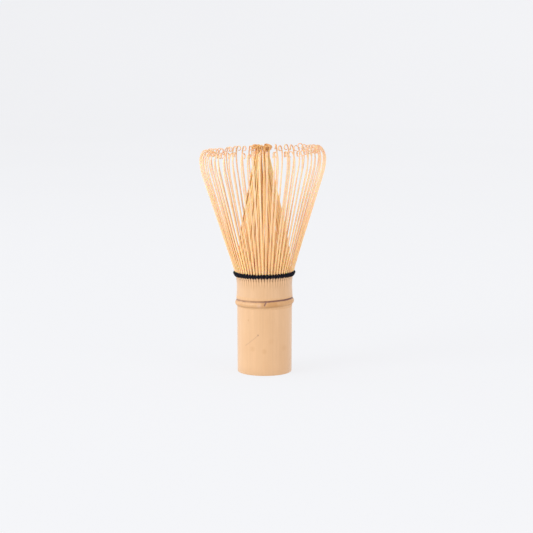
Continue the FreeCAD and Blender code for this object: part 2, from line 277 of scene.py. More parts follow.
class Value:
    """A number in a node tree that takes part in ordinary arithmetic."""

    def __init__(self, finish, socket):
        self.finish = finish
        self.socket = socket

    def math(self, operation, *others):
        """The result of a Math node on this value and the others."""
        return self.finish.node(
            "ShaderNodeMath", {"operation": operation}, dict(enumerate((self, *others)))
        )

    def __add__(self, other):
        return self.math("ADD", other)

    def __sub__(self, other):
        return self.math("SUBTRACT", other)

    def __rsub__(self, other):
        return self.finish.node("ShaderNodeMath", {"operation": "SUBTRACT"}, {0: other, 1: self})

    def __mul__(self, other):
        return self.math("MULTIPLY", other)

    __radd__ = __add__
    __rmul__ = __mul__

    def band(self, low, high, soft):
        """One inside the band from low to high and nothing outside it, with soft sides."""
        return self.rise(low, soft) * (1 - self.rise(high, soft))

    def rise(self, place, soft):
        """Nothing below the place and one above it, over a soft width."""
        spread = {1: place - soft, 2: place + soft}
        return self.finish.node("ShaderNodeMapRange", {"clamp": True}, {0: self, **spread})


class Finish:
    """A material with one Principled shader, built up node by node."""

    def __init__(self, name, roughness, **fixed):
        self.material = bpy.data.materials.new(name)
        self.material.use_nodes = True
        self.tree = self.material.node_tree
        self.shader = self.tree.nodes["Principled BSDF"]
        self.shader.inputs["Roughness"].default_value = roughness
        for socket, value in fixed.items():
            self.shader.inputs[socket.replace("_", " ")].default_value = value

    def node(self, kind, settings=None, inputs=None, output=0):
        """Any node: its settings first, then values or links for its sockets."""
        made = self.tree.nodes.new(kind)
        for key, value in (settings or {}).items():
            setattr(made, key, value)
        for key, value in (inputs or {}).items():
            self.feed(made.inputs[key], value)
        return Value(self, made.outputs[output])

    def feed(self, socket, value):
        """Link a value to a socket, or set the socket to a plain number or colour."""
        if isinstance(value, Value):
            self.tree.links.new(value.socket, socket)
        else:
            socket.default_value = value

    def place(self):
        """The point on the piece, in metres."""
        return self.node("ShaderNodeTexCoord", output="Object")

    def split(self, vector):
        """The three parts of a vector."""
        parts = self.node("ShaderNodeSeparateXYZ", None, {0: vector})
        node = parts.socket.node
        return [Value(self, node.outputs[i]) for i in range(3)]

    def stretched(self, across, along):
        """The point scaled so that a pattern is fine across the grain and long along it."""
        return self.node(
            "ShaderNodeMapping", None, {"Vector": self.place(), "Scale": (across, across, along)}
        )

    def noise(self, vector, scale, detail=3.0, rough=0.55):
        """Soft irregular patches, from nothing to one."""
        return self.node(
            "ShaderNodeTexNoise",
            None,
            {"Vector": vector, "Scale": scale, "Detail": detail, "Roughness": rough},
        )

    def mix(self, amount, first, second):
        """A colour between two others."""
        tones = [(*t, 1) if isinstance(t, tuple) else t for t in (first, second)]
        inputs = {0: amount, 6: tones[0], 7: tones[1]}
        return self.node("ShaderNodeMix", {"data_type": "RGBA"}, inputs, output=2)

    def bump(self, height, distance, strength):
        """Raise the surface where the height is great."""
        inputs = {"Height": height, "Distance": distance, "Strength": strength}
        self.feed(self.shader.inputs["Normal"], self.node("ShaderNodeBump", None, inputs))

    def paint(self, socket, value):
        """Feed one socket of the shader."""
        self.feed(self.shader.inputs[socket], value)


def shade(tone, factor):
    """A lighter or darker version of a colour."""
    return tuple(min(1.0, c * factor) for c in tone)


def spot(finish, centre, radius, soft):
    """One inside a round spot on the surface, nothing outside it."""
    offset = finish.node(
        "ShaderNodeVectorMath", {"operation": "DISTANCE"}, {0: finish.place(), 1: centre}, "Value"
    )
    return 1 - offset.rise(radius, soft)


def mark(finish, start, end, width):
    """One along a straight stroke on the front, from one (x, z) to another, nothing outside it."""
    start, end = (Vector((x, 0, z)) for x, z in (start, end))
    along = (end - start).normalized()

    def vector(operation, first, second, output="Vector"):
        inputs = {0: first, 1: second}
        return finish.node("ShaderNodeVectorMath", {"operation": operation}, inputs, output)

    flat = vector("MULTIPLY", finish.place(), (1.0, 0.0, 1.0))
    offset = vector("SUBTRACT", flat, tuple(start))
    reach = vector("DOT_PRODUCT", offset, tuple(along), "Value")
    reach = reach.math("MAXIMUM", 0.0).math("MINIMUM", (end - start).length)
    nearest = finish.node(
        "ShaderNodeVectorMath", {"operation": "SCALE"}, {0: tuple(along), "Scale": reach}
    )
    distance = vector("DISTANCE", offset, nearest, "Value")
    front = 1 - finish.split(finish.place())[1].rise(0.0, 1 * MM)
    return (1 - distance.rise(width, width * 0.6)) * front


def paint_blemishes(finish, base, colours):
    """The small marks on the front of the handle: a dot with a scratch, and round stains."""
    ridge, scar = tuple(colours.ridge), tuple(colours.scar)
    dot = mark(finish, (-3.0 * MM, 19.2 * MM), (-3.0 * MM, 19.1 * MM), 0.3 * MM)
    base = finish.mix(dot * 0.6, base, scar)
    scratch = mark(finish, (-3.3 * MM, 18.8 * MM), (-8.8 * MM, 13.8 * MM), 0.17 * MM)
    base = finish.mix(scratch * 0.22, base, scar)
    for x, z, size, depth in (
        (-0.1, 11.3, 0.9, 0.3), (-5.5, 12.3, 0.8, 0.25), (3.1, 16.0, 1.0, 0.14),
        (9.0, 12.5, 1.0, 0.2), (-7.5, 25.6, 0.22, 0.5),
    ):
        stain = mark(finish, (x * MM, z * MM), (x * MM, (z + 0.5) * MM), size * MM)
        base = finish.mix(stain * depth, base, ridge)
    return base


def paint_kerf_shade_and_highlights(finish, base, tone, warm, kerfs):
    """Painted shade in dark lines that run down from the kerfs, and painted highlights on the pale
    roots between them.
    """
    x, y, z = finish.split(finish.place())
    count = y.math("ARCTAN2", x) * (kerfs / math.tau)
    from_kerf = count.math("PINGPONG", 0.5)
    ragged = (finish.noise(finish.stretched(1.0, 0.01), 700.0, 1.0) - 0.5) * (6 * MM)
    lip = ROOT_TOP - 5.7 * MM
    level = z + ragged
    # painted shade: dark lines down from the kerfs, where shade falls in the cuts
    kerf_shade = (1 - from_kerf.rise(0.13, 0.09)) * level.rise(lip, 1.2 * MM)
    # painted highlight: a lighter copy of the skin on the roots between the kerfs, just under the
    # thread
    root_highlight = from_kerf.rise(0.3, 0.12) * level.rise(lip + 0.8 * MM, 0.8 * MM)
    base = finish.mix(kerf_shade * 0.65, base, shade(warm, 0.85))
    return finish.mix(root_highlight * 0.5, base, shade(tone, 1.3))


def culm_finish(name, tone, colours, blemishes=False, kerfs=0):
    """Planed bamboo skin: long fine fibres and soft mottling, with blemishes, and on the collar
    painted shade down the kerfs with painted highlights between them.
    """
    finish = Finish(name, 0.42, Coat_Weight=0.9, Coat_Roughness=0.38, Specular_IOR_Level=0.5)
    fibres = finish.noise(finish.stretched(1.0, 0.02), 4200.0, 4.0, 0.6)
    streaks = finish.noise(finish.stretched(1.0, 0.03), 900.0, 3.0)
    mottle = finish.noise(finish.stretched(1.0, 0.45), 130.0, 3.0)
    warm = tuple(colours.ridge)
    base = finish.mix(streaks.rise(0.5, 0.2), shade(tone, 0.97), shade(tone, 1.04))
    base = finish.mix(mottle.rise(0.56, 0.14) * 0.14, base, warm)
    base = finish.mix(fibres.rise(0.6, 0.12) * 0.12, base, warm)
    if blemishes:
        base = paint_blemishes(finish, base, colours)
    if kerfs:
        # painted shade down the kerfs and painted highlights on the roots between them
        base = paint_kerf_shade_and_highlights(finish, base, tone, warm, kerfs)
    finish.paint("Base Color", base)
    finish.paint("Roughness", 0.36 + streaks * 0.14)
    finish.bump(fibres * 0.5 + streaks * 0.5, 0.00006, 0.5)
    return finish.material


def node_finish(name, colours, slant):
    """The node: skin above, an orange-brown ridge with a painted highlight on its front, and the
    dark line of the leaf scar.
    """
    finish = Finish(name, 0.45, Coat_Weight=0.12, Coat_Roughness=0.35)
    skin, ridge, scar = tuple(colours.skin), tuple(colours.ridge), tuple(colours.scar)
    x, _, z = finish.split(finish.place())
    waver = finish.noise(finish.stretched(1.0, 0.2), 260.0, 3.0)
    level = z - x * math.tan(slant) + (waver - 0.5) * (0.6 * MM)
    fibres = finish.noise(finish.stretched(1.0, 0.05), 2600.0, 4.0)
    blotch = finish.noise(finish.stretched(1.0, 1.0), 240.0, 3.0)
    base = finish.mix(fibres.rise(0.5, 0.2), shade(skin, 0.92), shade(skin, 1.04))
    swell = level.band(HANDLE_TOP + 1.0 * MM, HANDLE_TOP + 3.5 * MM, 0.5 * MM)
    warmer = x.band(-0.5 * MM, 7.0 * MM, 2.0 * MM) * 0.55
    base = finish.mix(swell * (0.18 + blotch.rise(0.5, 0.12) * 0.3 + warmer), base, ridge)
    lower = level.band(HANDLE_TOP + 0.9 * MM, HANDLE_TOP + 1.3 * MM, 0.22 * MM)
    base = finish.mix(lower * 0.35, base, shade(ridge, 0.7))
    line = level.band(HANDLE_TOP + 3.45 * MM, HANDLE_TOP + 4.2 * MM, 0.2 * MM)
    strength = 0.5 + waver.rise(0.45, 0.1) * 0.25 + x.rise(2.0 * MM, 3.0 * MM) * 0.4
    base = finish.mix(line * strength, base, scar)
    # painted highlight: a pale pinkish spot on the ridge's front left, where the key light shines
    pale = spot(finish, (-2.6 * MM, -RIDGE_RADIUS, HANDLE_TOP + 1.9 * MM), 0.9 * MM, 0.6 * MM)
    base = finish.mix(pale * 0.55, base, tuple(colours.patch))
    bud_top = (0.7 * MM, HANDLE_TOP + 3.7 * MM)
    bud_foot = (0.0, HANDLE_TOP + 2.2 * MM)
    base = finish.mix(mark(finish, bud_top, bud_foot, 0.34 * MM) * 0.9, base, scar)
    finish.paint("Base Color", base)
    finish.paint("Roughness", 0.4 + blotch * 0.2)
    finish.bump(fibres * 0.4 + blotch * 0.6, 0.00012, 0.5)
    return finish.material


def flesh_finish(name, colours):
    """Inside of the culm: matt, pale and fibrous."""
    finish = Finish(name, 0.75)
    tone = tuple(colours.flesh)
    fibres = finish.noise(finish.stretched(1.0, 0.06), 3000.0, 4.0)
    patch = finish.noise(finish.place(), 300.0, 3.0)
    base = finish.mix(fibres.rise(0.5, 0.25), shade(tone, 0.84), shade(tone, 1.1))
    base = finish.mix(patch.rise(0.6, 0.1) * 0.3, base, shade(tone, 0.7))
    finish.paint("Base Color", base)
    finish.bump(fibres, 0.0001, 0.6)
    return finish.material


def tine_finish(name, foot, tone, tip, tip_from, tip_amount):
    """Split bamboo: each tine has its own tone, with fibres along it, a browned tip, and a change
    from foot colour to tine colour up the tine that on the outer tines is painted light.
    """
    finish = Finish(
        name, 0.5, Coat_Weight=0.6, Coat_Roughness=0.4, Subsurface_Weight=0.3,
        Subsurface_Radius=(1.0, 0.4, 0.1), Subsurface_Scale=0.0006,
    )
    own = finish.node("ShaderNodeAttribute", {"attribute_name": "tone"}, None, "Fac")
    _, _, z = finish.split(finish.place())
    fibres = finish.noise(finish.stretched(1.0, 0.03), 5200.0, 3.0)
    patch = finish.noise(finish.stretched(1.0, 0.35), 330.0, 2.0)
    # painted light: the tone runs from the foot colour low down to the tine colour up high; on the
    # outer tines the paler upper tone stands for light coming through the thin tines
    height = z.rise(72 * MM, 20 * MM)
    dark = finish.mix(height, shade(foot, 0.88), shade(tone, 0.88))
    pale = finish.mix(height, shade(foot, 1.12), shade(tone, 1.12))
    base = finish.mix(own, dark, pale)
    base = finish.mix(fibres.rise(0.55, 0.15) * 0.4, base, shade(foot, 0.85))
    base = finish.mix(patch.rise(0.62, 0.1) * 0.25, base, tip)
    browned = z.rise(tip_from, 3.0 * MM) * tip_amount
    base = finish.mix(browned * (0.5 + own * 0.5), base, tip)
    finish.paint("Base Color", base)
    finish.paint("Roughness", 0.44 + patch * 0.16)
    finish.bump(fibres, 0.00004, 0.5)
    return finish.material


def thread_finish(name, tone):
    """Black cotton thread with the slant of its two plies."""
    finish = Finish(name, 0.9, Specular_IOR_Level=0.12)
    plies = finish.node("ShaderNodeAttribute", {"attribute_name": "ply"}, None, "Fac")
    fuzz = finish.noise(finish.place(), 9000.0, 2.0)
    base = finish.mix(plies * 0.6 + fuzz * 0.4, shade(tone, 0.4), shade(tone, 2.6))
    finish.paint("Base Color", base)
    finish.paint("Roughness", 0.7 + fuzz * 0.2)
    finish.bump(plies * 0.8 + fuzz * 0.2, 0.00008, 0.8)
    return finish.material


def floor_finish(name, tone):
    """Lit paper: it glows, with painted light that leaves it a little darker to the left and
    brighter to the right, and takes only the faintest shadow.
    """
    finish = Finish(name, 0.95, Specular_IOR_Level=0.0, Emission_Strength=1.0)
    shadowed = 0.12
    grain = finish.noise(finish.place(), 2.2, 3.0)
    x, _, _ = finish.split(finish.place())
    glow = 1 - shadowed
    # painted light: the glow is darker to the left and brighter to the right, as the light falls
    # across the sweep
    side = x.rise(0.0, 0.9)
    left = finish.mix(grain, shade(tone, 0.972 * glow), shade(tone, 0.992 * glow))
    right = finish.mix(grain, shade(tone, 1.012 * glow), shade(tone, 1.03 * glow))
    finish.paint("Emission Color", finish.mix(side, left, right))
    finish.shader.inputs["Base Color"].default_value = (*shade(tone, shadowed), 1)
    return finish.material


# ---------------------------------------------------------------- pieces

class WHISK_OT_handle(bpy.types.Operator):
    """Turn the hollow handle, with its softened foot and its bore"""
    bl_idname = "whisk.handle"
    bl_label = "Handle"

    def execute(self, context):
        sizes, colours = context.scene.whisk_sizes, context.scene.whisk_colours
        base, bore = sizes.handle_foot, sizes.bore_radius
        profile = [
            (bore, HANDLE_TOP), (bore, 0.55 * MM), (bore + 0.2 * MM, 0.15 * MM),
            (bore + 0.5 * MM, 0.0), (base - 0.4 * MM, 0.0), (base - 0.12 * MM, 0.1 * MM),
            (base, 0.32 * MM), (base + 0.02 * MM, 4.0 * MM), (base + 0.04 * MM, 9.0 * MM),
            (base + 0.06 * MM, 15.0 * MM), (base + 0.08 * MM, 21.0 * MM),
            (base + 0.12 * MM, 27.0 * MM), (sizes.handle_top, HANDLE_TOP),
        ]
        handle = lathe("handle", 160, profile)
        smooth(handle)
        material = culm_finish("planed bamboo", tuple(colours.skin), colours, blemishes=True)
        finish_piece(handle, material, "handle_bamboo", "handle_tube")
        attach(handle, "root")
        return {"FINISHED"}


class WHISK_OT_node(bpy.types.Operator):
    """Turn the node, slant its ridge, and press in the bud scar at the front"""
    bl_idname = "whisk.node"
    bl_label = "Node ring"

    def execute(self, context):
        sizes, colours = context.scene.whisk_sizes, context.scene.whisk_colours
        base, top = HANDLE_TOP, RING_TOP
        steps = [
            (7.6, 0.0), (12.85, 0.0), (12.9, 0.5), (13.1, 0.95), (13.5, 1.35), (13.74, 1.8),
            (13.76, 2.4), (13.58, 2.95), (13.3, 3.35), (13.12, 3.58), (12.92, 3.76),
            (12.84, 3.9), (12.92, 4.04), (13.08, 4.2), (13.14, 4.5), (13.1, 5.0),
            (13.08, 5.4), (7.6, 5.4),
        ]
        ring = lathe("node_ridge", 192, [(r * MM, base + z * MM) for r, z in steps])
        middle = (base + top) / 2
        edit(ring)
        # the ridge is turned twice and its sides about once, so both end faces stay level
        for low, high in ((0.4, 4.8), (0.8, 4.4)):
            select_where(ring, lambda co: base + low * MM < co.z < base + high * MM)
            turn(-sizes.node_slant / 2, "Y", (0, 0, middle))
        notch = Vector((-0.1 * MM, -13.6 * MM, base + 3.1 * MM))
        select_where(ring, lambda co: (co - notch).length < 0.75 * MM)
        bpy.ops.transform.translate(
            value=(0, 0.42 * MM, -0.1 * MM), use_proportional_edit=True,
            proportional_edit_falloff="SMOOTH", proportional_size=0.9 * MM,
        )
        leave()
        smooth(ring, 60)
        material = node_finish("node bamboo", colours, sizes.node_slant)
        finish_piece(ring, material, "node_bamboo", "node_ring")
        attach(ring, "root")
        return {"FINISHED"}


class WHISK_OT_diaphragm(bpy.types.Operator):
    """Turn the domed diaphragm that closes the culm"""
    bl_idname = "whisk.diaphragm"
    bl_label = "Diaphragm"

    def execute(self, context):
        colours = context.scene.whisk_colours
        low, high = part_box("node_septum")
        rim, rise, wall = high.x + 0.05 * MM, 1.4 * MM, 1.5 * MM
        shares = [1.0, 0.96, 0.85, 0.7, 0.5, 0.3, 0.1]
        under = [(rim * s, low.z + rise * (1 - s * s)) for s in reversed(shares)]
        over = [(rim * s, low.z + wall + rise * (1 - s * s)) for s in shares]
        septum = lathe("diaphragm", 96, under + over)
        edit(septum)
        tiny = rim * 0.11
        for lid in (low.z + rise * 0.9, low.z + wall + rise * 0.9):
            select_where(septum, lambda co: co.xy.length < tiny and abs(co.z - lid) < 0.4 * MM)
            bpy.ops.mesh.merge(type="CENTER")
        bpy.ops.mesh.select_all(action="SELECT")
        bpy.ops.mesh.normals_make_consistent(inside=False)
        leave()
        smooth(septum, 60)
        material = flesh_finish("culm flesh", colours)
        finish_piece(septum, material, "inside_bamboo", "node_septum")
        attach(septum, "root")
        return {"FINISHED"}


class WHISK_OT_collar(bpy.types.Operator):
    """Turn the collar, point the ends of the kerfs, and raise the roots of the tines"""
    bl_idname = "whisk.collar"
    bl_label = "Collar and roots"
    parts_per_tine = 10

    def execute(self, context):
        sizes, colours = context.scene.whisk_sizes, context.scene.whisk_colours
        tines = SPLITS * sizes.tines_per_split
        parts = self.parts_per_tine
        count = tines * parts
        kerf, base = sizes.kerf_end, RING_TOP
        outer, crotch = 13.1 * MM, 12.4 * MM
        inner_face, bore = 11.7 * MM, 9.7 * MM
        profile = [
            (bore, base), (13.08 * MM, base), (13.02 * MM, base + 1.5 * MM),
            (12.93 * MM, base + 3.2 * MM), (12.92 * MM, base + 5.0 * MM), (outer, kerf),
            (crotch + 0.08 * MM, kerf), (crotch - 0.08 * MM, kerf), (inner_face, kerf),
            (bore, kerf - 2.0 * MM),
        ]
        collar = lathe("collar", count, profile)

        def part_of(co):
            """Which of its tine's parts a face centre lies in."""
            share = math.atan2(co.y, co.x) / math.tau * tines
            return int(share % 1 * parts)

        # the first and last parts of each pitch are half a kerf each, the rest is the root
        kerf_parts = (0, parts - 1)
        rise, rings = 0.6 * MM, 4
        outer_flare = 1 + 0.75 / 12.9
        layers = (
            (crotch + 0.08 * MM, outer, outer_flare), (inner_face, crotch - 0.08 * MM, 1.0)
        )
        for inside, outside, flare in layers:
            select_faces(collar, lambda centre: (
                abs(centre.z - kerf) < 0.02 * MM
                and inside < centre.xy.length < outside
                and part_of(centre) not in kerf_parts
            ))
            width = 1.0
            for ring in range(1, rings + 1):
                wider = 1 + (flare - 1) * ring / rings
                raise_ring(wider / width, rise, kerf + ring * rise)
                width = wider
            bpy.ops.mesh.select_mode(type="VERT")

        # the middle line of each kerf runs down to a point
        half = 0.25 / parts

        def kerf_line(co):
            share = math.atan2(co.y, co.x) / math.tau * tines % 1
            return min(share, 1 - share) < half and abs(co.z - kerf) < 0.02 * MM

        select_where(collar, lambda co: kerf_line(co) and co.xy.length > outer - 0.1 * MM)
        bpy.ops.transform.translate(value=(0, 0, -sizes.kerf_point))
        select_where(collar, lambda co: co.z > RING_TOP + 0.5 * MM)
        turn(-sizes.upper_tilt, "Y", (0, 0, RING_TOP))
        leave()
        smooth(collar, 35)
        tone = shade(tuple(colours.skin), 0.96)
        material = culm_finish("collar bamboo", tone, colours, kerfs=tines)
        finish_piece(collar, material, "handle_bamboo", "tine_collar")
        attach(collar, "root")
        return {"FINISHED"}


def sweep_tine(name, foot, heading, width, tip_width, thickness, tip_thickness, path):
    """One tine standing at azimuth 0: an eight-sided strip extruded along its path.

    The path is a list of (length, turn, yaw) steps. Each turn is towards the axis, and
    each yaw swings the rest of the tine sideways about the upright.
    """
    # a section of this radius is about one wide, so it is then scaled to the tine's own size
    corners, section_radius = 8, 0.525
    bpy.ops.object.select_all(action="DESELECT")
    bpy.ops.mesh.primitive_circle_add(
        vertices=corners, radius=section_radius, fill_type="NGON", location=(0, 0, 0),
        rotation=(0, 0, math.pi / corners),
    )
    bpy.ops.object.transform_apply(location=True, rotation=True, scale=True)
    tine = bpy.context.active_object
    tine.name = name
    edit(tine)
    bpy.ops.mesh.select_all(action="SELECT")
    bpy.ops.transform.resize(value=(thickness, width, 1))
    here = Vector(foot)
    bpy.ops.transform.translate(value=here)
    turn(heading, "Y", here)
    total = sum(step[0] for step in path)
    gone = 0.0
    wide, thick = 1.0, 1.0
    yaws = []
    for ring, (step, bend, yaw) in enumerate(path, start=1):
        ahead = Vector((math.sin(heading), 0, math.cos(heading))) * step
        bpy.ops.mesh.extrude_region_move(TRANSFORM_OT_translate={"value": ahead})
        here += ahead
        gone += step
        heading -= bend
        turn(-bend, "Y", here)
        share = gone / total
        new_wide = 1 + (tip_width / width - 1) * share
        new_thick = 1 + (tip_thickness / thickness - 1) * share
        scale_ring(here, new_wide / wide, new_thick / thick)
        wide, thick = new_wide, new_thick
        if yaw:
            yaws.append((ring * corners, yaw, here.copy()))
    leave()
    for first, yaw, centre in reversed(yaws):
        select_vertices(tine, lambda vertex: vertex.index >= first)
        turn(yaw, "Z", centre)
        leave()
    return tine


def scale_ring(centre, wide, thick):
    """Narrow the selected ring by wide along Y and by thick along its thin side."""
    bpy.ops.transform.resize(value=(thick, wide, thick), center_override=centre)


def straight_steps(length, pieces):
    """Equal steps along a straight stretch."""
    return [(length / pieces, 0.0, 0.0)] * pieces


def arc_steps(radius, degrees, pieces, yaw=0.0):
    """Steps of a round bend of one radius, swung sideways by yaw in all, in degrees."""
    bend = math.radians(degrees) / pieces
    step = 2 * radius * math.sin(abs(bend) / 2)
    return [(step, bend, math.radians(yaw) / pieces)] * pieces


def copy_tine(master, name):
    """A copy of a tine with its own mesh."""
    tine = master.copy()
    tine.data = master.data.copy()
    tine.name = name
    bpy.context.scene.collection.objects.link(tine)
    return tine


def join(tines, name):
    """Join the tines of one split into one piece."""
    focus(tines[0])
    for tine in tines:
        tine.select_set(True)
    bpy.ops.object.join()
    joined = bpy.context.active_object
    joined.name = name
    joined.data.name = name
    return joined


def set_tone(tine, tone):
    """Give every point of the tine one tone, from 0, dark, to 1, pale."""
    layer = tine.data.attributes.new("tone", "FLOAT", "POINT")
    layer.data.foreach_set("value", [tone] * len(tine.data.vertices))


def pose_tine(tine, foot, azimuth, lean, swing, stretch):
    """Stand a tine at its place round the culm with its own small faults."""
    edit(tine)
    bpy.ops.mesh.select_all(action="SELECT")
    bpy.ops.transform.resize(value=(1, 1, stretch), center_override=foot)
    turn(lean, "Y", foot)
    turn(swing, "X", foot)
    turn(azimuth, "Z", (0, 0, 0))
    leave()


def finish_split(piece, kind, split, material, upper_tilt):
    """Finish the tines of one split: tilt them, shade them smooth and give them their material."""
    tilt(piece, upper_tilt, RING_TOP)
    smooth(piece, 60)
    node = "{}_split_{:02d}".format(kind, split + 1)
    finish_piece(piece, material, "{}_tine_bamboo".format(kind), node)
    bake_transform(piece)


class WHISK_OT_outer_tines(bpy.types.Operator):
    """Sweep a few hooked tines and stand them round the culm, split by split"""
    bl_idname = "whisk.outer_tines"
    bl_label = "Outer tines"
    masters = 7
    # the crown rises to the right
    crown_rise = math.tan(math.radians(1.4))

    def make_masters(self, sizes, rng):
        foot = Vector((ROOT_RADIUS - sizes.outer_inset, 0, sizes.tine_foot))
        lean = sizes.outer_lean
        straight = sizes.outer_straight
        made = []
        for number in range(self.masters):
            hook = sizes.hook_radius * rng.uniform(0.9, 1.08)
            curl = sizes.curl_radius * rng.uniform(0.85, 1.25)
            yaw = rng.uniform(10, 40) * rng.choice((-1, 1))
            path = [(straight * 0.03, -lean * 0.12, 0.0)] * 3
            path += straight_steps(straight * 0.91, 11)
            path += arc_steps(sizes.outer_bend, math.degrees(lean), 5)
            path += arc_steps(hook, 48, 4)
            path += arc_steps((hook + curl) / 3.3, 66, 5, yaw * 0.4)
            path += arc_steps(curl, rng.uniform(140, 200), 8, yaw)
            tine = sweep_tine(
                "outer_master_{}".format(number), foot, lean * 0.64,
                sizes.outer_width, sizes.outer_width * 0.8,
                sizes.outer_thickness, sizes.outer_thickness * 0.9, path,
            )
            made.append(tine)
        return foot, made

    def execute(self, context):
        sizes, colours = context.scene.whisk_sizes, context.scene.whisk_colours
        rng = random.Random(11)
        foot, masters = self.make_masters(sizes, rng)
        tip = tuple(colours.tip)
        material = tine_finish(
            "split bamboo", tuple(colours.tine_foot), tuple(colours.tine), tip, 101.0 * MM, 0.45
        )
        per_split = sizes.tines_per_split
        pitch = math.tau / (SPLITS * per_split)
        for split in range(SPLITS):
            tines = []
            split_lean = rng.gauss(0, math.radians(0.25))
            for place in range(per_split):
                azimuth = split * math.tau / SPLITS + (place - (per_split - 1) / 2) * pitch
                tine = copy_tine(rng.choice(masters), "tine")
                stretch = 1 + self.crown_rise * 0.5 * math.cos(azimuth) + rng.gauss(0, 0.003)
                pose_tine(
                    tine, foot, azimuth,
                    lean=split_lean + rng.gauss(0, math.radians(0.3)),
                    swing=rng.gauss(0, math.radians(0.55)),
                    stretch=stretch,
                )
                set_tone(tine, rng.random())
                tines.append(tine)
            piece = join(tines, "outer_tines_{:02d}".format(split + 1))
            finish_split(piece, "outer", split, material, sizes.upper_tilt)
        for master in masters:
            bpy.data.objects.remove(master)
        return {"FINISHED"}


class WHISK_OT_inner_tines(bpy.types.Operator):
    """Sweep a few thin tines and gather them into the bundle in the middle"""
    bl_idname = "whisk.inner_tines"
    bl_label = "Inner tines"
    # how far sideways the curled tip of each master points, in degrees
    yaws = (-90, -65, -40, -15, 15, 40, 65, 90)

    def make_masters(self, sizes, rng):
        foot = Vector((sizes.inner_foot, 0, sizes.tine_foot))
        lean = math.degrees(sizes.inner_lean)
        made = []
        for number, yaw in enumerate(self.yaws):
            curl = sizes.inner_curl * rng.uniform(0.85, 1.15)
            curl_turn = -rng.uniform(200, 280)
            straight = sizes.inner_straight * rng.uniform(0.99, 1.01)
            path = arc_steps(sizes.inner_bend, lean, 7)
            path += straight_steps(straight, 9)
            path += [(0.4 * MM, 0.0, math.radians(yaw) / 5)] * 5
            path += arc_steps(curl, curl_turn * 0.6, 7, rng.uniform(-15, 15))
            path += arc_steps(curl * 0.75, curl_turn * 0.4, 6, rng.uniform(-40, 40))
            made.append(sweep_tine(
                "inner_master_{}".format(number), foot, 0.0,
                sizes.inner_width, sizes.inner_width * 0.55,
                sizes.inner_thickness, sizes.inner_thickness, path,
            ))
        return foot, made

    def execute(self, context):
        sizes, colours = context.scene.whisk_sizes, context.scene.whisk_colours
        rng = random.Random(5)
        foot, masters = self.make_masters(sizes, rng)
        tip = tuple(colours.tip)
        material = tine_finish(
            "inner bamboo", tuple(colours.tine_foot), tuple(colours.inner), tip, 103.2 * MM, 0.8
        )
        per_split = sizes.tines_per_split
        pitch = math.tau / (SPLITS * per_split)
        for split in range(SPLITS):
            tines = []
            swing = rng.gauss(0, math.radians(0.3))
            lean = rng.gauss(0, math.radians(0.2))
            # the bundle parts into a left lobe and a smaller right one
            left = math.cos(split * math.tau / SPLITS) < 0.3
            lobe = sizes.lobe_tilt if left else -sizes.lobe_tilt
            for place in range(per_split):
                azimuth = split * math.tau / SPLITS + (place - per_split / 2 + 0.75) * pitch
                sideways = math.remainder((math.pi if left else 0.0) - azimuth, math.tau)
                wanted = math.degrees(sideways) + rng.gauss(0, 25)
                nearest = min(range(len(masters)), key=lambda n: abs(self.yaws[n] - wanted))
                tine = copy_tine(masters[nearest], "tine")
                pose_tine(
                    tine, foot, azimuth,
                    lean=lean + rng.gauss(0, math.radians(0.3)),
                    swing=swing + rng.gauss(0, math.radians(0.45)),
                    stretch=1 + rng.gauss(0, 0.005),
                )
                set_tone(tine, rng.random())
                tines.append(tine)
            piece = join(tines, "inner_tines_{:02d}".format(split + 1))
            tilt(piece, sizes.inner_tilt + lobe, sizes.tine_foot)
            finish_split(piece, "inner", split, material, sizes.upper_tilt)
        for master in masters:
            bpy.data.objects.remove(master)
        return {"FINISHED"}


